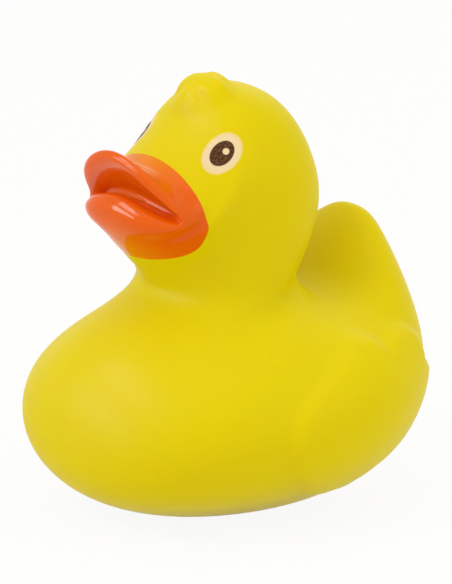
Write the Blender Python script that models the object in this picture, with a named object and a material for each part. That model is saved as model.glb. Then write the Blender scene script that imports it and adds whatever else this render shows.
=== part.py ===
"""Rubber duck: one hollow vinyl shell, moulded in one piece, with a painted bill and eyes.

The shell's skin is a loft. It runs through hoops, closed curves that start at the tail's tip,
turn about the saddle behind the neck, pass the head and the bill, roll over the lips and end in
the narrow slot at the back of the mouth. The duck looks along -Y, and its left side is +X.
"""

import math

import bmesh
import bpy
import numpy as np

MM = 0.001

# Shell
WALL = 2.0 * MM
AIR_HOLE_DIAMETER = 3.0 * MM
AIR_HOLE_FORWARD = 6.0 * MM

# Half widths: body at the belly, head at the cheeks, bill at its valley
BODY_HALF_WIDTH = 36.4 * MM
HEAD_HALF_WIDTH = 17.6 * MM
BILL_HALF_WIDTH = 14.8 * MM

# How much wider the upper bill is than the bill's middle, and the lower bill narrower
BILL_FLARE = 0.08

# Wings: three feather lobes on each flank, each from (forward, up, radius) to its tip
WING_RISE = 1.2 * MM
WING_EDGE = 3.2 * MM
WING_ROOT = 8.8 * MM
WING_LOBES_MM = [
    ((4.2, 20.3, 10.2), (-7.4, 31.2, 6.2)),
    ((1.0, 16.5, 9.5), (-19.0, 30.0, 6.9)),
    ((-3.0, 15.0, 8.0), (-26.0, 22.0, 6.5)),
]

# Crest: a low mound on the crown, parted by two creases into three locks
CREST_RISE = 2.1 * MM
CREST_FORWARD = 9.0 * MM
CREST_HALF_LENGTH = 6.4 * MM
CREST_HALF_WIDTH = 8.0 * MM
CREST_CREASE_DEPTH = 0.85 * MM
CREST_CREASE_WIDTH = 0.9 * MM
CREST_CREASE_OFFSET = 2.3 * MM
CREST_STEEPNESS = 1.6
CREST_LOCK_SPREAD = 0.5
CREST_RIDGE_WIDTH = 3.3 * MM

# Painted eyes and bill
EYE_FORWARD = 13.6 * MM
EYE_UP = 75.0 * MM
EYE_RADIUS = 4.0 * MM
PUPIL_RADIUS = 2.6 * MM

# The bill paint's edge: how far forward it is at its middle height, how it leans forward
# with height, and how far it sweeps back at the cheeks, per square metre of width
BILL_PAINT_FORWARD = 22.0 * MM
BILL_PAINT_UP = 63.0 * MM
BILL_PAINT_LEAN = 0.09
BILL_PAINT_SWEEP = 16.0
BILL_PAINT_FLOOR = 50.0 * MM

# Mesh fineness
SEGMENTS = 52
BODY_STEPS = 4
HEAD_STEPS = 5
BILL_STEPS = 3
CORE_SEGMENTS = 28
CORE_STEPS = 2
CORE_START = 0.8
CORE_END = 14.4
AIR_HOLE_SIDES = 24
NORMAL_STEP = 0.01
TINY = 1e-12

# Each hoop: top (forward, up), side (forward, up), keel (forward, up), all in mm from the
# middle of the foot, then its half width as a share and how squarely its front is cut.
BODY_HOOPS = [
    ((-30.8, 54.8), (-30.8, 54.8), (-30.8, 54.8), 0.00, 0.0),
    ((-27.4, 55.6), (-29.8, 53.0), (-33.0, 51.2), 0.205, 0.0),
    ((-21.0, 49.4), (-26.2, 40.8), (-37.2, 37.0), 0.56, 0.0),
    ((-16.8, 45.2), (-21.2, 31.0), (-35.6, 18.2), 0.79, 0.0),
    ((-13.4, 43.5), (-10.0, 25.0), (-19.6, 3.0), 0.955, 0.0),
    ((-11.3, 43.4), (5.0, 22.8), (8.0, -0.8), 1.00, 0.0),
    ((-10.1, 44.5), (18.6, 25.0), (36.8, 5.9), 0.915, 0.0),
    ((-9.8, 46.0), (22.2, 31.6), (43.0, 21.2), 0.775, 0.0),
    ((-10.4, 48.2), (16.4, 38.8), (36.8, 35.8), 0.56, 0.0),
]
HEAD_HOOPS = [
    ((-12.6, 52.4), (7.4, 45.2), (23.4, 44.2), 0.95, 0.0),
    ((-15.4, 60.4), (2.9, 55.0), (22.2, 48.2), 0.975, 0.0),
    ((-14.1, 69.8), (3.1, 63.5), (23.9, 50.4), 0.98, 0.0),
    ((-6.2, 82.1), (7.0, 66.9), (25.4, 52.0), 0.965, 0.0),
    ((7.8, 85.8), (11.8, 67.6), (26.8, 53.6), 0.945, 0.0),
    ((14.9, 80.2), (16.5, 66.0), (28.4, 55.4), 0.935, 0.0),
]
BILL_HOOPS = [
    ((22.4, 73.8), (20.0, 64.4), (30.1, 57.4), 1.01, 0.3),
    ((26.4, 72.4), (23.0, 63.4), (31.4, 59.2), 1.00, 0.5),
    ((29.6, 74.4), (25.0, 63.2), (32.4, 61.2), 1.00, 0.7),
    ((31.5, 75.7), (25.8, 63.5), (32.9, 64.0), 1.00, 0.8),
    ((32.3, 74.4), (26.0, 63.5), (32.2, 66.2), 0.97, 0.8),
    ((30.8, 72.0), (25.8, 63.5), (30.8, 67.0), 0.91, 0.7),
    ((28.6, 69.8), (25.4, 63.8), (28.6, 66.4), 0.82, 0.6),
    ((26.8, 67.4), (24.8, 64.2), (26.6, 65.6), 0.74, 0.5),
]


def clear_scene():
    for old in list(bpy.data.objects):
        bpy.data.objects.remove(old, do_unlink=True)


def hoop_rows():
    """Rows of (forward, up) of top, side and keel, half width and squareness, in metres."""
    groups = (
        (BODY_HOOPS, BODY_HALF_WIDTH),
        (HEAD_HOOPS, HEAD_HALF_WIDTH),
        (BILL_HOOPS, BILL_HALF_WIDTH),
    )
    rows = []
    for hoops, half_width in groups:
        for top, side, keel, share, squareness in hoops:
            points = [value * MM for value in (*top, *side, *keel)]
            rows.append([*points, share * half_width, squareness])
    return np.array(rows)


def smooth_curve(values, t, level_start=False):
    """Cubic spline through one value per hoop, read at the hoop numbers t."""
    count = len(values)
    matrix = np.eye(count)
    right = np.zeros_like(values)
    for i in range(1, count - 1):
        matrix[i, i - 1:i + 2] = 1.0, 4.0, 1.0
        right[i] = 6.0 * (values[i + 1] - 2.0 * values[i] + values[i - 1])
    if level_start:
        matrix[0, :2] = 2.0, 1.0
        right[0] = 6.0 * (values[1] - values[0])
    bend = np.linalg.solve(matrix, right)
    i = np.clip(np.floor(t).astype(int), 0, count - 2)
    v = t - i
    u = 1.0 - v
    arcs = bend[i] * (u**3 - u) + bend[i + 1] * (v**3 - v)
    return arcs / 6.0 + values[i] * u + values[i + 1] * v


def skin_points(rows, t, angle):
    """Points of the skin without relief, for arrays of hoop numbers and angles that broadcast."""
    top, side, keel = rows[:, 0:2], rows[:, 2:4], rows[:, 4:6]
    middle = (top + keel) / 2.0
    reach = (top - keel) / 2.0
    middle_at = [smooth_curve(middle[:, k], t, True) for k in range(2)]
    reach_at = [smooth_curve(reach[:, k], t) for k in range(2)]
    pull_at = [smooth_curve((side - middle)[:, k], t, True) for k in range(2)]
    half_width = smooth_curve(rows[:, 6], t)
    squareness = smooth_curve(rows[:, 7], t)
    across = np.sin(angle)
    along = np.cos(angle)
    pull = across**2
    square_pull = pull * (1.0 - squareness * along**2)
    forward = middle_at[0] + reach_at[0] * along + pull_at[0] * square_pull
    up = middle_at[1] + reach_at[1] * along + pull_at[1] * pull
    flare = 1.0 + BILL_FLARE * squareness * along
    return np.stack([half_width * across * flare, -forward, up], axis=-1)


def skin_normals(rows, t, angle):
    """Outward unit normals of the skin, from small steps along and around it."""
    along = skin_points(rows, t + NORMAL_STEP, angle) - skin_points(rows, t - NORMAL_STEP, angle)
    around = skin_points(rows, t, angle + NORMAL_STEP) - skin_points(rows, t, angle - NORMAL_STEP)
    normal = np.cross(along, around)
    length = np.linalg.norm(normal, axis=-1, keepdims=True)
    return normal / np.maximum(length, TINY)


def smooth_step(value):
    """0 below 0, 1 above 1, and an S-curve between."""
    share = np.clip(value, 0.0, 1.0)
    return share * share * (3.0 - 2.0 * share)


def lobe_depth(points, start, tip):
    """How far inside a tapered wing lobe each point lies, seen from the side."""
    forward, up = -points[..., 1], points[..., 2]
    x0, z0, r0 = (value * MM for value in start)
    x1, z1, r1 = (value * MM for value in tip)
    run, climb = x1 - x0, z1 - z0
    share = ((forward - x0) * run + (up - z0) * climb) / (run * run + climb * climb)
    share = np.clip(share, 0.0, 1.0)
    distance = np.hypot(forward - x0 - share * run, up - z0 - share * climb)
    return r0 + share * (r1 - r0) - distance


def wing_relief(points):
    """Height of the wings over the flanks: full inside the lobes, falling over a soft edge."""
    depth = np.max([lobe_depth(points, *lobe) for lobe in WING_LOBES_MM], axis=0)
    on_flank = smooth_step((np.abs(points[..., 0]) - WING_ROOT) / WING_EDGE)
    return WING_RISE * smooth_step(depth / WING_EDGE + 0.5) * on_flank


def crest_relief(points):
    """Height of the crest over the crown: a mound with two creases from side to side."""
    forward = -points[..., 1] - CREST_FORWARD
    across = np.abs(points[..., 0])
    radius = np.hypot(forward / CREST_HALF_LENGTH, across / CREST_HALF_WIDTH)
    mound = smooth_step(CREST_STEEPNESS * (1.0 - radius))
    spread = 1.0 + CREST_LOCK_SPREAD * across / CREST_HALF_WIDTH
    crease = (np.abs(forward) - CREST_CREASE_OFFSET * spread) / CREST_CREASE_WIDTH
    parting = np.exp(-crease**2) * smooth_step(across / CREST_RIDGE_WIDTH)
    on_crown = points[..., 2] > EYE_UP
    return (CREST_RISE * mound - CREST_CREASE_DEPTH * parting * mound) * on_crown


def ring_places():
    """Hoop numbers of the mesh's rings, several to each hoop, up to the last hoop."""
    groups = ((BODY_HOOPS, BODY_STEPS), (HEAD_HOOPS, HEAD_STEPS), (BILL_HOOPS[:-1], BILL_STEPS))
    places = []
    first = 0
    for hoops, steps in groups:
        places += [first + k / steps for k in range(len(hoops) * steps)]
        first += len(hoops)
    return np.array([*places, first])


def slot_faces(ring, segments):
    """Faces that close the mouth's slot, joining its roof to its floor from side to side."""
    quarter = segments // 4
    faces = []
    for j in range(-quarter, quarter):
        corners = [j, j + 1, segments // 2 - j - 1, segments // 2 - j]
        corners = [ring[k % segments] for k in corners]
        faces.append(list(dict.fromkeys(corners)))
    return faces


def mesh_from_rings(name, rings, start_point, end_point=None):
    """A closed mesh over rings of points: a fan at its start, and a slot or a fan at its end."""
    count, segments = rings.shape[:2]
    bm = bmesh.new()
    start = bm.verts.new(start_point)
    grid = [[bm.verts.new(point) for point in ring] for ring in rings]
    for j in range(segments):
        k = (j + 1) % segments
        bm.faces.new((start, grid[0][k], grid[0][j]))
        for i in range(count - 1):
            bm.faces.new((grid[i][j], grid[i][k], grid[i + 1][k], grid[i + 1][j]))
    if end_point is None:
        for corners in slot_faces(grid[-1], segments):
            bm.faces.new(corners)
    else:
        end = bm.verts.new(end_point)
        for j in range(segments):
            bm.faces.new((grid[-1][j], grid[-1][(j + 1) % segments], end))
    bmesh.ops.recalc_face_normals(bm, faces=bm.faces)
    mesh = bpy.data.meshes.new(name)
    bm.to_mesh(mesh)
    bm.free()
    return mesh


def ring_angles(segments):
    return np.arange(segments) * (2.0 * math.pi / segments)


def outer_mesh(rows):
    """The duck's outside, with wings and crest, cut flat at the foot."""
    t = ring_places()[1:, None]
    angle = ring_angles(SEGMENTS)[None]
    points = skin_points(rows, t, angle)
    relief = wing_relief(points) + crest_relief(points)
    points = points + relief[..., None] * skin_normals(rows, t, angle)
    tail_tip = (0.0, -rows[0, 0], rows[0, 1])
    mesh = mesh_from_rings("duck_shell", points, tail_tip)
    cut_foot(mesh)
    return mesh


def cut_foot(mesh):
    """Cut the keel off level with the ground and close the cut with one flat face."""
    bm = bmesh.new()
    bm.from_mesh(mesh)
    geometry = list(bm.verts) + list(bm.edges) + list(bm.faces)
    cut = bmesh.ops.bisect_plane(
        bm, geom=geometry, plane_co=(0.0, 0.0, 0.0), plane_no=(0.0, 0.0, -1.0), clear_outer=True)
    rim = [item for item in cut["geom_cut"] if isinstance(item, bmesh.types.BMEdge)]
    bmesh.ops.contextual_create(bm, geom=rim)
    bmesh.ops.recalc_face_normals(bm, faces=bm.faces)
    bm.to_mesh(mesh)
    bm.free()


def core_object(rows):
    """The hollow: the skin moved in by the wall, from the tail to the root of the bill."""
    rings = int((CORE_END - CORE_START) * CORE_STEPS) + 1
    t = np.linspace(CORE_START, CORE_END, rings)[:, None]
    angle = ring_angles(CORE_SEGMENTS)[None]
    points = skin_points(rows, t, angle) - WALL * skin_normals(rows, t, angle)
    points[..., 2] = np.maximum(points[..., 2], WALL)
    mesh = mesh_from_rings("hollow", points, points[0].mean(axis=0), points[-1].mean(axis=0))
    return cutter(bpy.data.objects.new("hollow", mesh))


def air_hole_object():
    """The drill for the air hole, through the foot's floor."""
    bm = bmesh.new()
    bmesh.ops.create_cone(
        bm, cap_ends=True, segments=AIR_HOLE_SIDES, depth=4.0 * WALL,
        radius1=AIR_HOLE_DIAMETER / 2.0, radius2=AIR_HOLE_DIAMETER / 2.0)
    mesh = bpy.data.meshes.new("air_hole")
    bm.to_mesh(mesh)
    bm.free()
    hole = cutter(bpy.data.objects.new("air_hole", mesh))
    hole.location = (0.0, -AIR_HOLE_FORWARD, 0.0)
    return hole


def cutter(tool):
    tool.hide_render = True
    tool.display_type = "WIRE"
    bpy.context.collection.objects.link(tool)
    return tool


def cut_with(piece, tool):
    modifier = piece.modifiers.new("cut_" + tool.name, "BOOLEAN")
    modifier.operation = "DIFFERENCE"
    modifier.solver = "EXACT"
    modifier.object = tool


def linear(hex_colour):
    """Linear colour of an sRGB hex colour."""
    channels = [int(hex_colour[k:k + 2], 16) / 255.0 for k in (1, 3, 5)]
    return [((c + 0.055) / 1.055) ** 2.4 if c > 0.04045 else c / 12.92 for c in channels] + [1.0]


def surface(name, hex_colour, roughness):
    material = bpy.data.materials.new(name)
    material.use_nodes = True
    shader = material.node_tree.nodes["Principled BSDF"]
    shader.inputs["Base Color"].default_value = linear(hex_colour)
    shader.inputs["Roughness"].default_value = roughness
    shader.inputs["Metallic"].default_value = 0.0
    return material


def paint(mesh):
    """Yellow vinyl all over, an orange bill, and eyes in cream with a dark pupil."""
    mesh.materials.append(surface("yellow_vinyl", "#e5d01b", 0.5))
    mesh.materials.append(surface("orange_paint", "#ec5d01", 0.2))
    mesh.materials.append(surface("cream_paint", "#f2dba9", 0.4))
    mesh.materials.append(surface("brown_paint", "#64492b", 0.4))
    for face in mesh.polygons:
        x, y, z = face.center
        lean = BILL_PAINT_LEAN * (z - BILL_PAINT_UP)
        bill_edge = BILL_PAINT_FORWARD + lean - BILL_PAINT_SWEEP * x * x
        eye_distance = math.hypot(-y - EYE_FORWARD, z - EYE_UP)
        if -y > bill_edge and z > BILL_PAINT_FLOOR:
            face.material_index = 1
        elif eye_distance < PUPIL_RADIUS:
            face.material_index = 3
        elif eye_distance < EYE_RADIUS:
            face.material_index = 2


def centre_on_origin(piece, tools):
    """Move the duck along Y so that the middle of its box stands over the origin."""
    ys = [vertex.co.y for vertex in piece.data.vertices]
    shift = (min(ys) + max(ys)) / 2.0
    for item in (piece, *tools):
        item.location.y -= shift


def build_duck():
    rows = hoop_rows()
    mesh = outer_mesh(rows)
    paint(mesh)
    mesh.shade_smooth()
    duck = bpy.data.objects.new("duck_shell", mesh)
    bpy.context.collection.objects.link(duck)
    tools = (core_object(rows), air_hole_object())
    for tool in tools:
        cut_with(duck, tool)
    centre_on_origin(duck, tools)
    return duck


clear_scene()
build_duck()
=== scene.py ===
"""The looks of a rubber duck: one moulded shell of yellow vinyl with a glossy orange bill and
printed eyes, on a pale floor in soft studio light.

The duck looks along -Y and its left side is +X. Forward is -Y, measured from the foot's middle.
"""

import math

import bpy
import numpy as np
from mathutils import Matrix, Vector


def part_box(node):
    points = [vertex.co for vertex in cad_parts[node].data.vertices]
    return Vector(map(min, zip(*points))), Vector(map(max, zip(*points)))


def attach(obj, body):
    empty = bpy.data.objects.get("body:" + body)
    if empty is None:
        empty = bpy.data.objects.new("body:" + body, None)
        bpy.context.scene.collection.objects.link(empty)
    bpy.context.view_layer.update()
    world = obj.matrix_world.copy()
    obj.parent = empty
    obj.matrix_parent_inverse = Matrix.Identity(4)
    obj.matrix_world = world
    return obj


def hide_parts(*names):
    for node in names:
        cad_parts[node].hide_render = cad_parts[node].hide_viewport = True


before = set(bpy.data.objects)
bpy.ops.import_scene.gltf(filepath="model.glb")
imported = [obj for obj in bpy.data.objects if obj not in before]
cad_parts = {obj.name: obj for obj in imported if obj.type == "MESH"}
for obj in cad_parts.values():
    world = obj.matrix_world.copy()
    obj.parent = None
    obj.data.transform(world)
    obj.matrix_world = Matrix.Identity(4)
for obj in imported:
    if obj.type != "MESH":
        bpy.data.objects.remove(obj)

MM = 0.001

# Shell
WALL = 2.0 * MM
AIR_HOLE_DIAMETER = 3.0 * MM
AIR_HOLE_FORWARD = 6.0 * MM
FOOT_ROUNDING = 0.35 * MM

# Half widths: body at the belly, head at the cheeks, bill at its valley
BODY_HALF_WIDTH = 36.4 * MM
HEAD_HALF_WIDTH = 17.6 * MM
BILL_HALF_WIDTH = 14.8 * MM

# How much wider the upper bill is than the bill's middle, and the lower bill narrower
BILL_FLARE = 0.08

# Wings: three feather lobes on each flank, each from (forward, up, radius) to its tip
WING_RISE = 1.2 * MM
WING_EDGE = 3.2 * MM
WING_ROOT = 8.8 * MM
WING_LOBES_MM = [
    ((4.2, 20.3, 10.2), (-7.4, 31.2, 6.2)),
    ((1.0, 16.5, 9.5), (-19.0, 30.0, 6.9)),
    ((-3.0, 15.0, 8.0), (-26.0, 22.0, 6.5)),
]

# Crest: a low mound on the crown, parted by two creases into three locks
CREST_RISE = 2.1 * MM
CREST_FORWARD = 9.0 * MM
CREST_HALF_LENGTH = 6.4 * MM
CREST_HALF_WIDTH = 8.0 * MM
CREST_CREASE_DEPTH = 0.85 * MM
CREST_CREASE_WIDTH = 0.9 * MM
CREST_CREASE_OFFSET = 2.3 * MM
CREST_STEEPNESS = 1.6
CREST_LOCK_SPREAD = 0.5
CREST_RIDGE_WIDTH = 3.3 * MM
CROWN_FLOOR = 75.0 * MM

# The bill's paint, in mm from the foot's middle: its rear edge leans forward with height, its
# lower edge droops towards the middle, and a rounded corner joins them
PAINT_REAR_MM = 18.8
PAINT_REAR_UP_MM = 57.0
PAINT_REAR_LEAN = 0.235
PAINT_LOWER_MM = 53.9
PAINT_LOWER_FORWARD_MM = 27.5
PAINT_LOWER_BEND = 0.038
PAINT_CORNER_MM = 3.5
PAINT_FADE_MM = 8.0
PAINT_FADE_HALF_WIDTH_MM = 13.0

# The ring of the mesh that follows the paint's edge, and how far its pull on its neighbours goes
PAINT_RING_AT = 14.5
PAINT_RING_REACH = 4.6
PAINT_SEARCH = (11.0, 15.9)
PAINT_SEARCH_STEPS = 500

# Printed eye: its middle (side, forward, up), the directions of its short and long axis, and
# the half lengths along them of the cream oval and the pupil, and the dot of light in it. The
# right eye is shifted from the place that would mirror the left one.
EYE_MIDDLE_MM = (12.4, 14.3, 75.0)
RIGHT_EYE_SHIFT_MM = (-1.3, 1.3, 0.0)
EYE_SHORT_AXIS = (-0.77, 0.34, 0.54)
EYE_LONG_AXIS = (0.16, -0.78, 0.61)
CREAM_RADII_MM = (3.55, 4.8)
PUPIL_RADII_MM = (2.15, 2.9)
DOT_RADIUS_MM = 0.68
DOT_PLACE_MM = (-0.33, 0.84)

# Mesh fineness: rings to each hoop, and points to each ring
BODY_STEPS = 20
HEAD_STEPS = 38
BILL_STEPS = 14
SEGMENTS = 168
AIR_HOLE_SIDES = 48
NORMAL_STEP = 0.01
TINY = 1e-12

# Each hoop: top (forward, up), side (forward, up), keel (forward, up), all in mm from the
# middle of the foot, then its half width as a share and how squarely its front is cut.
BODY_HOOPS = [
    ((-30.8, 54.8), (-30.8, 54.8), (-30.8, 54.8), 0.00, 0.0),
    ((-27.4, 55.6), (-29.8, 53.0), (-33.0, 51.2), 0.205, 0.0),
    ((-21.0, 49.4), (-26.2, 40.8), (-37.2, 37.0), 0.56, 0.0),
    ((-16.8, 45.2), (-21.2, 31.0), (-35.6, 18.2), 0.79, 0.0),
    ((-13.4, 43.5), (-10.0, 25.0), (-19.6, 3.0), 0.955, 0.0),
    ((-11.3, 43.4), (5.0, 22.8), (8.0, -0.8), 1.00, 0.0),
    ((-10.1, 44.5), (18.6, 25.0), (36.8, 5.9), 0.915, 0.0),
    ((-9.8, 46.0), (22.2, 31.6), (43.0, 21.2), 0.775, 0.0),
    ((-10.4, 48.2), (16.4, 38.8), (36.8, 35.8), 0.56, 0.0),
]
HEAD_HOOPS = [
    ((-12.6, 52.4), (7.4, 45.2), (23.4, 44.2), 0.95, 0.0),
    ((-15.4, 60.4), (2.9, 55.0), (22.2, 48.2), 0.975, 0.0),
    ((-14.1, 69.8), (3.1, 63.5), (23.9, 50.4), 0.98, 0.0),
    ((-6.2, 82.1), (7.0, 66.9), (25.4, 52.0), 0.965, 0.0),
    ((7.8, 85.8), (11.8, 67.6), (26.8, 53.6), 0.945, 0.0),
    ((14.9, 80.2), (16.5, 66.0), (28.4, 55.4), 0.935, 0.0),
]
BILL_HOOPS = [
    ((22.4, 73.8), (20.0, 64.4), (30.1, 57.4), 1.01, 0.3),
    ((26.4, 72.4), (23.0, 63.4), (31.4, 59.2), 1.00, 0.5),
    ((29.6, 74.4), (25.0, 63.2), (32.4, 61.2), 1.00, 0.7),
    ((31.5, 75.7), (25.8, 63.5), (32.9, 64.0), 1.00, 0.8),
    ((32.3, 74.4), (26.0, 63.5), (32.2, 66.2), 0.97, 0.8),
    ((30.8, 72.0), (25.8, 63.5), (30.8, 67.0), 0.91, 0.7),
    ((28.6, 69.8), (25.4, 63.8), (28.6, 66.4), 0.82, 0.6),
    ((26.8, 67.4), (24.8, 64.2), (26.6, 65.6), 0.74, 0.5),
]

# Colours
VINYL_YELLOW = "#e3d405"
VINYL_WARM = "#e0ce03"
BILL_ORANGE = "#e86204"
BILL_THIN_PAINT = "#ea8c03"
EYE_CREAM = "#eddab2"
EYE_CREAM_RIM = "#eed88e"
PUPIL_BROWN = "#4c2f16"
PUPIL_SPECK = "#76563c"
FLOOR_WHITE = "#f2f2f2"

# How much whiter than lit card the floor is where it is looked at: 1 leaves no shadow
FLOOR_WHITENESS = 0.92

# Vinyl: how matt and how shiny it is, how much light soaks in and how deep, and its grain
VINYL_ROUGHNESS = 0.42
VINYL_IOR = 1.53
VINYL_SHINE = 0.06
VINYL_GLOW = 0.35
VINYL_GLOW_COLOUR = (1.0, 0.3, 0.03)
VINYL_GLOW_DEPTH = 6.0 * MM
VINYL_MOTTLE_SCALE = 40.0
VINYL_GRAIN_SCALE = 2200.0
VINYL_GRAIN_STRENGTH = 0.10

# Lacquer: the same for the bill's paint, and its orange-peel
LACQUER_ROUGHNESS = 0.10
LACQUER_IOR = 1.5
LACQUER_SHINE = 0.15
LACQUER_GLOW = 0.06
LACQUER_GLOW_COLOUR = (1.0, 0.4, 0.1)
LACQUER_GLOW_DEPTH = 1.0 * MM
LACQUER_PEEL_SCALE = 500.0
LACQUER_PEEL_STRENGTH = 0.12
BUMP_HEIGHT = 0.1 * MM

# Print: from where to where an oval's edge fades, as shares of its radius, and the dot's edge;
# where the cream starts to yellow; and the specks in the brown ink
PRINT_EDGE = (1.03, 0.97)
DOT_EDGE = (1.1, 0.9)
CREAM_RIM_START = 0.82
SPECK_SCALE = 2600.0
SPECK_RANGE = (0.45, 0.75)

# Softboxes: azimuth and elevation in degrees round the duck, distance, width and height in
# metres, and watts
SOFTBOXES = {
    "key_softbox": (-5.0, 42.0, 0.75, 0.28, 0.28, 1.2),
    "fill_softbox": (110.0, 25.0, 0.90, 0.50, 0.60, 0.9),
    "top_softbox": (60.0, 78.0, 0.80, 0.60, 0.60, 0.9),
    "back_softbox": (215.0, 35.0, 0.90, 0.50, 0.50, 0.6),
}

# Bright panes, given in the same way, that only show as reflections
PANES = {
    "low_pane": (-28.0, 9.0, 0.75, 0.44, 0.22, 4.0),
    "high_pane": (-25.0, 42.0, 0.75, 0.40, 0.34, 5.0),
}

# Light from all round: its strength and its warm tint
WORLD_FILL = 0.73
WARM_FILL = (1.0, 0.92, 0.76, 1.0)

# Camera: seen from the duck's left front, a little from above
VIEW_AZIMUTH = 51.0
VIEW_ELEVATION = 15.0
VIEW_DISTANCE = 1.0
VIEW_TARGET_UP = 42.0 * MM
VIEW_SLIDE = 2.8 * MM
VIEW_TARGET_BACK = 3.0 * MM
IMAGE_HEIGHT = 584
PIXELS_PER_METRE = 5000.0
SENSOR_WIDTH = 36.0
LENS_REACH = 20.0

# Half the side of the square floor, in metres
FLOOR_HALF_SIZE = 3.0

# Numbers of the colour mix node's sockets
A, B, MIXED = 6, 7, 2


def hoop_rows():
    """Rows of (forward, up) of top, side and keel, half width and squareness, in metres."""
    groups = (
        (BODY_HOOPS, BODY_HALF_WIDTH),
        (HEAD_HOOPS, HEAD_HALF_WIDTH),
        (BILL_HOOPS, BILL_HALF_WIDTH),
    )
    rows = []
    for hoops, half_width in groups:
        for top, side, keel, share, squareness in hoops:
            points = [value * MM for value in (*top, *side, *keel)]
            rows.append([*points, share * half_width, squareness])
    return np.array(rows)


def smooth_curve(values, t, level_start=False):
    """Cubic spline through one value per hoop, read at the hoop numbers t."""
    count = len(values)
    matrix = np.eye(count)
    right = np.zeros_like(values)
    for i in range(1, count - 1):
        matrix[i, i - 1:i + 2] = 1.0, 4.0, 1.0
        right[i] = 6.0 * (values[i + 1] - 2.0 * values[i] + values[i - 1])
    if level_start:
        matrix[0, :2] = 2.0, 1.0
        right[0] = 6.0 * (values[1] - values[0])
    bend = np.linalg.solve(matrix, right)
    i = np.clip(np.floor(t).astype(int), 0, count - 2)
    v = t - i
    u = 1.0 - v
    arcs = bend[i] * (u**3 - u) + bend[i + 1] * (v**3 - v)
    return arcs / 6.0 + values[i] * u + values[i + 1] * v


def skin_points(rows, t, angle):
    """Points of the skin without relief: each hoop's middle, plus its reach times the cosine of
    the angle, plus its side's pull times the sine squared, and its half width times the sine."""
    top, side, keel = rows[:, 0:2], rows[:, 2:4], rows[:, 4:6]
    middle = (top + keel) / 2.0
    reach = (top - keel) / 2.0
    middle_at = [smooth_curve(middle[:, k], t, True) for k in range(2)]
    reach_at = [smooth_curve(reach[:, k], t) for k in range(2)]
    pull_at = [smooth_curve((side - middle)[:, k], t, True) for k in range(2)]
    half_width = smooth_curve(rows[:, 6], t)
    squareness = smooth_curve(rows[:, 7], t)
    across = np.sin(angle)
    along = np.cos(angle)
    pull = across**2
    square_pull = pull * (1.0 - squareness * along**2)
    forward = middle_at[0] + reach_at[0] * along + pull_at[0] * square_pull
    up = middle_at[1] + reach_at[1] * along + pull_at[1] * pull
    flare = 1.0 + BILL_FLARE * squareness * along
    return np.stack([half_width * across * flare, -forward, up], axis=-1)


def skin_normals(rows, t, angle):
    """Outward unit normals of the skin: the cross product of small steps along and around it."""
    along = skin_points(rows, t + NORMAL_STEP, angle) - skin_points(rows, t - NORMAL_STEP, angle)
    around = skin_points(rows, t, angle + NORMAL_STEP) - skin_points(rows, t, angle - NORMAL_STEP)
    normal = np.cross(along, around)
    length = np.linalg.norm(normal, axis=-1, keepdims=True)
    return normal / np.maximum(length, TINY)


def smooth_step(value):
    """0 below 0, 1 above 1, and an S-curve between."""
    share = np.clip(value, 0.0, 1.0)
    return share * share * (3.0 - 2.0 * share)


def lobe_depth(points, start, tip):
    """How far inside a tapered wing lobe each point lies, seen from the side: the radius at the
    nearest place on the lobe's middle line, less the distance to that line."""
    forward, up = -points[..., 1], points[..., 2]
    x0, z0, r0 = (value * MM for value in start)
    x1, z1, r1 = (value * MM for value in tip)
    run, climb = x1 - x0, z1 - z0
    share = ((forward - x0) * run + (up - z0) * climb) / (run * run + climb * climb)
    share = np.clip(share, 0.0, 1.0)
    distance = np.hypot(forward - x0 - share * run, up - z0 - share * climb)
    return r0 + share * (r1 - r0) - distance


def wing_relief(points):
    """Height of the wings over the flanks: full inside the lobes, falling over a soft edge."""
    depth = np.max([lobe_depth(points, *lobe) for lobe in WING_LOBES_MM], axis=0)
    on_flank = smooth_step((np.abs(points[..., 0]) - WING_ROOT) / WING_EDGE)
    return WING_RISE * smooth_step(depth / WING_EDGE + 0.5) * on_flank


def crest_relief(points):
    """Height of the crest over the crown: a mound with two creases from side to side."""
    forward = -points[..., 1] - CREST_FORWARD
    across = np.abs(points[..., 0])
    radius = np.hypot(forward / CREST_HALF_LENGTH, across / CREST_HALF_WIDTH)
    mound = smooth_step(CREST_STEEPNESS * (1.0 - radius))
    spread = 1.0 + CREST_LOCK_SPREAD * across / CREST_HALF_WIDTH
    crease = (np.abs(forward) - CREST_CREASE_OFFSET * spread) / CREST_CREASE_WIDTH
    parting = np.exp(-crease**2) * smooth_step(across / CREST_RIDGE_WIDTH)
    on_crown = points[..., 2] > CROWN_FLOOR
    return (CREST_RISE * mound - CREST_CREASE_DEPTH * parting * mound) * on_crown


def ring_places():
    """Hoop numbers of the mesh's rings, several to each hoop, up to the last hoop."""
    groups = ((BODY_HOOPS, BODY_STEPS), (HEAD_HOOPS, HEAD_STEPS), (BILL_HOOPS[:-1], BILL_STEPS))
    places = []
    first = 0
    for hoops, steps in groups:
        places += [first + k / steps for k in range(len(hoops) * steps)]
        first += len(hoops)
    return np.array([*places, first])


def ring_angles(segments):
    return np.arange(segments) * (2.0 * math.pi / segments)


def rest_on_ground(up):
    """Heights with the keel pressed flat at the ground, over a small rounding at its rim."""
    share = np.clip(0.5 + 0.5 * up / FOOT_ROUNDING, 0.0, 1.0)
    return share * up + FOOT_ROUNDING * share * (1.0 - share)


def fan_faces(ring, point, flip):
    """Triangles from each step of a ring to one point."""
    step = np.roll(ring, -1)
    tip = np.full_like(ring, point)
    return np.stack([tip, ring, step] if flip else [tip, step, ring], axis=1)


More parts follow.
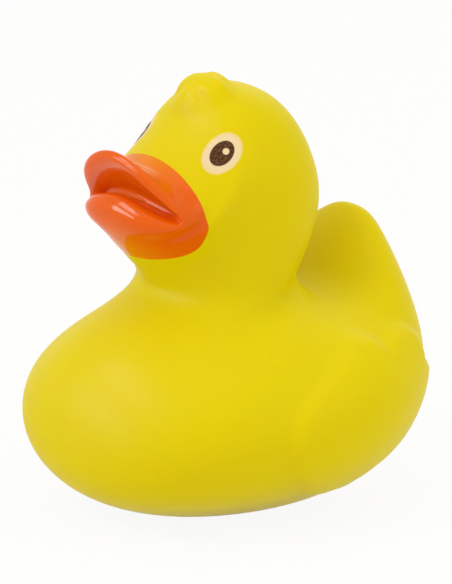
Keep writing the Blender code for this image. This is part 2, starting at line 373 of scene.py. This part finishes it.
def slot_faces(ring, segments):
    """Faces that close the mouth's slot, joining its roof to its floor from side to side."""
    quarter = segments // 4
    j = np.arange(-quarter + 1, quarter - 1)
    quads = np.stack([j, j + 1, segments // 2 - j - 1, segments // 2 - j], axis=1) % segments
    first = np.array([-quarter, -quarter + 1, segments // 2 + quarter - 1]) % segments
    last = np.array([quarter - 1, quarter, segments // 2 - quarter + 1]) % segments
    return ring[quads].tolist() + [ring[first].tolist(), ring[last].tolist()]


def mesh_from_rings(name, rings, start_point, end_point=None):
    """A closed mesh over rings of points: a fan at its start, and a slot or a fan at its end."""
    count, segments = rings.shape[:2]
    number = 1 + np.arange(count * segments).reshape(count, segments)
    step = np.roll(number, -1, axis=1)
    quads = np.stack([number[:-1], step[:-1], step[1:], number[1:]], axis=-1).reshape(-1, 4)
    faces = quads.tolist() + fan_faces(number[0], 0, False).tolist()
    points = [np.array([start_point]), rings.reshape(-1, 3)]
    if end_point is None:
        faces += slot_faces(number[-1], segments)
    else:
        points.append(np.array([end_point]))
        faces += fan_faces(number[-1], 1 + count * segments, True).tolist()
    mesh = bpy.data.meshes.new(name)
    mesh.from_pydata(np.concatenate(points).tolist(), [], faces)
    return mesh


def paint_ring(rows, angle):
    """Hoop number at which the skin crosses the paint's edge, for each angle: the first of many
    close steps that lies in the paint, moved back by its share of the last step."""
    t = np.linspace(*PAINT_SEARCH, PAINT_SEARCH_STEPS)
    depth = bill_paint_depth(skin_points(rows, t[:, None], angle))
    first = np.argmax(depth > 0.0, axis=0)
    column = np.arange(depth.shape[1])
    before, after = depth[first - 1, column], depth[first, column]
    return t[first] - after / (after - before) * (t[1] - t[0])


def ring_table(rows, angle):
    """Hoop numbers of all rings at all angles: plain ones, pulled to the paint's edge near it."""
    plain = ring_places()[1:, None]
    edge_row = np.argmin(np.abs(plain[:, 0] - PAINT_RING_AT))
    pull = 1.0 - smooth_step(np.abs(plain - plain[edge_row]) / PAINT_RING_REACH)
    return plain + pull * (paint_ring(rows, angle) - plain[edge_row]), edge_row


def outer_mesh(rows):
    """The duck's outside, with wings and crest, pressed flat at the foot. Its second material is
    the bill's paint, on the faces in front of the ring at the paint's edge."""
    angle = ring_angles(SEGMENTS)[None]
    t, edge_row = ring_table(rows, angle)
    points = skin_points(rows, t, angle)
    relief = wing_relief(points) + crest_relief(points)
    points = points + relief[..., None] * skin_normals(rows, t, angle)
    points[..., 2] = rest_on_ground(points[..., 2])
    mesh = mesh_from_rings("outside", points, (0.0, -rows[0, 0], rows[0, 1]))
    vinyl_quads = int(edge_row) * SEGMENTS
    mesh_quads = (len(points) - 1) * SEGMENTS
    slots = np.zeros(len(mesh.polygons), np.int32)
    slots[vinyl_quads:mesh_quads] = 1
    slots[mesh_quads + SEGMENTS:] = 1
    mesh.materials.append(yellow_vinyl())
    mesh.materials.append(orange_lacquer())
    mesh.polygons.foreach_set("material_index", slots)
    return mesh


def air_hole_mesh():
    """The drill for the air hole: a cylinder that reaches two walls deep into the foot."""
    angle = -ring_angles(AIR_HOLE_SIDES)
    radius = AIR_HOLE_DIAMETER / 2.0
    middle = -AIR_HOLE_FORWARD
    reach = 2.0 * WALL
    circle = np.stack([radius * np.sin(angle), middle + radius * np.cos(angle), 0.0 * angle], axis=-1)
    rings = np.stack([circle - (0.0, 0.0, reach), circle + (0.0, 0.0, reach)])
    return mesh_from_rings("air_hole", rings, (0.0, middle, -reach), (0.0, middle, reach))


def link(name, mesh):
    piece = bpy.data.objects.new(name, mesh)
    bpy.context.scene.collection.objects.link(piece)
    return piece


def cut_away(piece, tool):
    """Cut the tool out of the piece, leave the result in its mesh and remove the tool."""
    modifier = piece.modifiers.new("cut_" + tool.name, "BOOLEAN")
    modifier.operation = "DIFFERENCE"
    modifier.solver = "EXACT"
    modifier.object = tool
    graph = bpy.context.evaluated_depsgraph_get()
    cut = bpy.data.meshes.new_from_object(piece.evaluated_get(graph))
    piece.modifiers.clear()
    piece.data = cut
    bpy.data.objects.remove(tool, do_unlink=True)


def bill_paint_depth(points):
    """How far inside the bill's paint each point lies, in mm seen from the side: the smaller of
    its distances to the rear and lower edge, less a term that rounds the corner between them."""
    forward, up = -points[..., 1] / MM, points[..., 2] / MM
    behind = forward - PAINT_REAR_MM - PAINT_REAR_LEAN * (up - PAINT_REAR_UP_MM)
    below = up - PAINT_LOWER_MM - PAINT_LOWER_BEND * (PAINT_LOWER_FORWARD_MM - forward) ** 2
    near = np.clip(1.0 - np.abs(behind - below) / PAINT_CORNER_MM, 0.0, 1.0)
    return np.minimum(behind, below) - near * near * PAINT_CORNER_MM / 4.0


def thin_paint(points):
    """How thin the bill's paint is, from 0 to 1: thin near its edge, on the middle of the bill."""
    near_edge = 1.0 - smooth_step(bill_paint_depth(points) / PAINT_FADE_MM)
    near_middle = 1.0 - smooth_step(np.abs(points[..., 0]) / MM / PAINT_FADE_HALF_WIDTH_MM)
    return near_edge * near_middle


def eye_places(points):
    """Each point's place on the printed eye, in mm: along its short axis, along its long axis and
    out of it. The right eye mirrors the left one, but was printed a little nearer the bill."""
    side, forward, up = np.abs(points[..., 0]), -points[..., 1], points[..., 2]
    on_right = (points[..., 0] < 0.0)[..., np.newaxis]
    middle = EYE_MIDDLE_MM + on_right * np.array(RIGHT_EYE_SHIFT_MM)
    offset = np.stack([side, forward, up], axis=-1) / MM - middle
    out = np.cross(EYE_LONG_AXIS, EYE_SHORT_AXIS)
    return offset @ np.stack([EYE_SHORT_AXIS, EYE_LONG_AXIS, out], axis=-1)


def read_points(mesh):
    values = np.zeros(len(mesh.vertices) * 3, np.float32)
    mesh.vertices.foreach_get("co", values)
    return values.reshape(-1, 3).astype(float)


def mark_paint(mesh):
    """Give the mesh the attributes that its paints read."""
    points = read_points(mesh)
    thin = mesh.attributes.new("thin_paint", "FLOAT", "POINT")
    thin.data.foreach_set("value", thin_paint(points).astype(np.float32))
    place = mesh.attributes.new("eye_place", "FLOAT_VECTOR", "POINT")
    place.data.foreach_set("vector", eye_places(points).astype(np.float32).ravel())


def centre_on_solid(mesh):
    """Move the mesh along Y so that its box's middle is the CAD solid's."""
    low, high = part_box("duck_shell")
    points = read_points(mesh)
    points[:, 1] += (low.y + high.y) / 2.0 - (points[:, 1].min() + points[:, 1].max()) / 2.0
    mesh.vertices.foreach_set("co", points.astype(np.float32).ravel())
    mesh.update()


def duck_skin():
    """The shell's outside, with the mouth of the air hole in the foot. This mesh is filled: only
    the CAD solid has the hollow."""
    rows = hoop_rows()
    duck = link("duck", outer_mesh(rows))
    cut_away(duck, link("air_hole", air_hole_mesh()))
    mark_paint(duck.data)
    centre_on_solid(duck.data)
    duck.data.shade_smooth()
    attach(duck, "root")
    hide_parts("duck_shell")


def linear(hex_colour):
    """Linear colour of an sRGB hex colour."""
    channels = [int(hex_colour[k:k + 2], 16) / 255.0 for k in (1, 3, 5)]
    return [((c + 0.055) / 1.055) ** 2.4 if c > 0.04045 else c / 12.92 for c in channels] + [1.0]


def add(tree, kind, inputs=None, **settings):
    """Add a node with its settings, and set or link its inputs by name or number."""
    node = tree.nodes.new("ShaderNode" + kind)
    for name, value in settings.items():
        setattr(node, name, value)
    for key, value in (inputs or {}).items():
        if isinstance(value, bpy.types.NodeSocket):
            tree.links.new(value, node.inputs[key])
        else:
            node.inputs[key].default_value = value
    return node


def new_material(name):
    material = bpy.data.materials.new(name)
    material.use_nodes = True
    material.node_tree.nodes.clear()
    return material, material.node_tree


def mix(tree, share, first, second):
    """Colour that goes from the first to the second as the share goes from 0 to 1."""
    return add(tree, "Mix", {0: share, A: first, B: second}, data_type="RGBA").outputs[MIXED]


def ramp(tree, value, start, end):
    """0 where the value is at the start, 1 where it is at the end, and straight between."""
    return add(tree, "MapRange", {0: value, "From Min": start, "From Max": end}).outputs["Result"]


def oval_reach(tree, flat, radii):
    """How far out a point lies on an oval with those half lengths: 0 in its middle, 1 on its edge."""
    per_radius = (1.0 / radii[0], 1.0 / radii[1], 0.0)
    share = add(tree, "VectorMath", {0: flat, 1: per_radius}, operation="MULTIPLY").outputs[0]
    return add(tree, "VectorMath", {0: share}, operation="LENGTH").outputs["Value"]


def printed_eye(tree, place, ground):
    """The ground colour with the eyes pad printed on it: a cream oval that yellows at its rim, a
    brown pupil in which the specks of the ink's screen show, and a cream dot of light."""
    eye = add(tree, "Attribute", attribute_name="eye_place").outputs["Vector"]
    flat = add(tree, "VectorMath", {0: eye, 1: (1.0, 1.0, 0.0)}, operation="MULTIPLY").outputs[0]
    cream_reach = oval_reach(tree, flat, CREAM_RADII_MM)
    pupil_reach = oval_reach(tree, flat, PUPIL_RADII_MM)
    dot_reach = add(
        tree, "VectorMath", {0: flat, 1: (*DOT_PLACE_MM, 0.0)}, operation="DISTANCE").outputs["Value"]

    at_rim = ramp(tree, cream_reach, CREAM_RIM_START, 1.0)
    cream = mix(tree, at_rim, linear(EYE_CREAM), linear(EYE_CREAM_RIM))
    specks = add(tree, "TexNoise", {"Vector": place, "Scale": SPECK_SCALE, "Detail": 1.0})
    speck = ramp(tree, specks.outputs["Fac"], *SPECK_RANGE)
    brown = mix(tree, speck, linear(PUPIL_BROWN), linear(PUPIL_SPECK))

    in_dot = ramp(tree, dot_reach, DOT_RADIUS_MM * DOT_EDGE[0], DOT_RADIUS_MM * DOT_EDGE[1])
    colour = mix(tree, ramp(tree, cream_reach, *PRINT_EDGE), ground, cream)
    colour = mix(tree, ramp(tree, pupil_reach, *PRINT_EDGE), colour, brown)
    return mix(tree, in_dot, colour, cream)


def yellow_vinyl():
    """Soft PVC, rotocast: yellow all through and satin matt, with a faint mould grain. The eyes
    are printed on it."""
    material, tree = new_material("yellow_vinyl")
    place = add(tree, "TexCoord").outputs["Object"]
    mottle = add(tree, "TexNoise", {"Vector": place, "Scale": VINYL_MOTTLE_SCALE, "Detail": 2.0})
    yellow = mix(tree, mottle.outputs["Fac"], linear(VINYL_YELLOW), linear(VINYL_WARM))
    grain = add(tree, "TexNoise", {"Vector": place, "Scale": VINYL_GRAIN_SCALE, "Detail": 2.0})
    bump = add(tree, "Bump", {
        "Height": grain.outputs["Fac"], "Strength": VINYL_GRAIN_STRENGTH, "Distance": BUMP_HEIGHT})
    shader = add(tree, "BsdfPrincipled", {
        "Base Color": printed_eye(tree, place, yellow),
        "Roughness": VINYL_ROUGHNESS,
        "IOR": VINYL_IOR,
        "Specular IOR Level": VINYL_SHINE,
        "Subsurface Weight": VINYL_GLOW,
        "Subsurface Radius": VINYL_GLOW_COLOUR,
        "Subsurface Scale": VINYL_GLOW_DEPTH,
        "Normal": bump.outputs["Normal"],
    })
    add(tree, "OutputMaterial", {"Surface": shader.outputs["BSDF"]})
    return material


def orange_lacquer():
    """Sprayed vinyl lacquer: a smooth glossy orange, thinner and more amber where the spray mask
    ended, with a faint long orange-peel."""
    material, tree = new_material("orange_lacquer")
    place = add(tree, "TexCoord").outputs["Object"]
    thin = add(tree, "Attribute", attribute_name="thin_paint").outputs["Fac"]
    peel = add(tree, "TexNoise", {"Vector": place, "Scale": LACQUER_PEEL_SCALE, "Detail": 1.0})
    bump = add(tree, "Bump", {
        "Height": peel.outputs["Fac"], "Strength": LACQUER_PEEL_STRENGTH, "Distance": BUMP_HEIGHT})
    shader = add(tree, "BsdfPrincipled", {
        "Base Color": mix(tree, thin, linear(BILL_ORANGE), linear(BILL_THIN_PAINT)),
        "Roughness": LACQUER_ROUGHNESS,
        "IOR": LACQUER_IOR,
        "Specular IOR Level": LACQUER_SHINE,
        "Subsurface Weight": LACQUER_GLOW,
        "Subsurface Radius": LACQUER_GLOW_COLOUR,
        "Subsurface Scale": LACQUER_GLOW_DEPTH,
        "Normal": bump.outputs["Normal"],
    })
    add(tree, "OutputMaterial", {"Surface": shader.outputs["BSDF"]})
    return material


def seen_directly(tree):
    """1 for rays from the camera and rays mirrored or let through by a surface, else 0."""
    path = add(tree, "LightPath").outputs
    either = add(
        tree, "Math", {0: path["Is Camera Ray"], 1: path["Is Glossy Ray"]}, operation="MAXIMUM")
    return add(
        tree, "Math", {0: either.outputs[0], 1: path["Is Transmission Ray"]},
        operation="MAXIMUM").outputs[0]


def floor_paper():
    """Matt white card: lit by the lamps, and as white as the backdrop where it is looked at,
    but for a part of the duck's shadow."""
    material, tree = new_material("white_card")
    card = add(tree, "BsdfDiffuse", {"Color": linear(FLOOR_WHITE)})
    white = add(tree, "Emission", {"Color": (1.0, 1.0, 1.0, 1.0), "Strength": 1.0})
    share = add(tree, "Math", {0: seen_directly(tree), 1: FLOOR_WHITENESS}, operation="MULTIPLY")
    both = add(tree, "MixShader", {
        0: share.outputs[0], 1: card.outputs["BSDF"], 2: white.outputs["Emission"]})
    add(tree, "OutputMaterial", {"Surface": both.outputs["Shader"]})
    return material


def pale_floor():
    half = FLOOR_HALF_SIZE
    mesh = bpy.data.meshes.new("floor")
    square = [(-half, -half, 0.0), (half, -half, 0.0), (half, half, 0.0), (-half, half, 0.0)]
    mesh.from_pydata(square, [], [(0, 1, 2, 3)])
    mesh.materials.append(floor_paper())
    link("floor", mesh)


def white_world():
    """White where it is looked at. As a light it is dimmer and a little warm, like a studio whose
    walls throw the duck's own yellow back at it."""
    world = bpy.data.worlds.new("white_studio")
    bpy.context.scene.world = world
    world.use_nodes = True
    tree = world.node_tree
    tree.nodes.clear()
    fill = add(tree, "Background", {"Color": WARM_FILL, "Strength": WORLD_FILL})
    white = add(tree, "Background", {"Color": (1.0, 1.0, 1.0, 1.0), "Strength": 1.0})
    both = add(tree, "MixShader", {
        0: seen_directly(tree), 1: fill.outputs["Background"], 2: white.outputs["Background"]})
    add(tree, "OutputWorld", {"Surface": both.outputs["Shader"]})


def direction(azimuth, elevation):
    """Unit vector from the duck towards that azimuth and elevation, in degrees: azimuth 0 is in
    front of the duck, and 90 is on its left."""
    a, e = math.radians(azimuth), math.radians(elevation)
    return Vector((math.sin(a) * math.cos(e), -math.cos(a) * math.cos(e), math.sin(e)))


def softbox(name, azimuth, elevation, distance, width, height, watts):
    """An area lamp that faces the duck's middle."""
    lamp = bpy.data.lights.new(name, "AREA")
    lamp.shape = "RECTANGLE"
    lamp.size = width
    lamp.size_y = height
    lamp.energy = watts
    towards = direction(azimuth, elevation)
    item = link(name, lamp)
    item.location = towards * distance + Vector((0.0, 0.0, VIEW_TARGET_UP))
    item.rotation_euler = towards.to_track_quat("Z", "Y").to_euler()
    return item


def camera():
    """A long lens at the duck's left front, slid a little so that the duck sits right of the
    image's middle, as far as one metre makes it that size."""
    lens = bpy.data.cameras.new("camera")
    lens.sensor_width = SENSOR_WIDTH
    lens.lens = SENSOR_WIDTH * PIXELS_PER_METRE * VIEW_DISTANCE / IMAGE_HEIGHT
    lens.clip_end = LENS_REACH
    towards = direction(VIEW_AZIMUTH, VIEW_ELEVATION)
    right = Vector((0.0, 0.0, 1.0)).cross(towards).normalized()
    item = link("camera", lens)
    item.location = towards * VIEW_DISTANCE - right * VIEW_SLIDE
    item.location += Vector((0.0, VIEW_TARGET_BACK, VIEW_TARGET_UP))
    item.rotation_euler = towards.to_track_quat("Z", "Y").to_euler()
    bpy.context.scene.camera = item


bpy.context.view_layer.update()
bpy.context.scene.view_settings.view_transform = "Standard"
camera()
duck_skin()
pale_floor()
white_world()
for name, numbers in SOFTBOXES.items():
    softbox(name, *numbers)
for name, numbers in PANES.items():
    softbox(name, *numbers).visible_diffuse = False
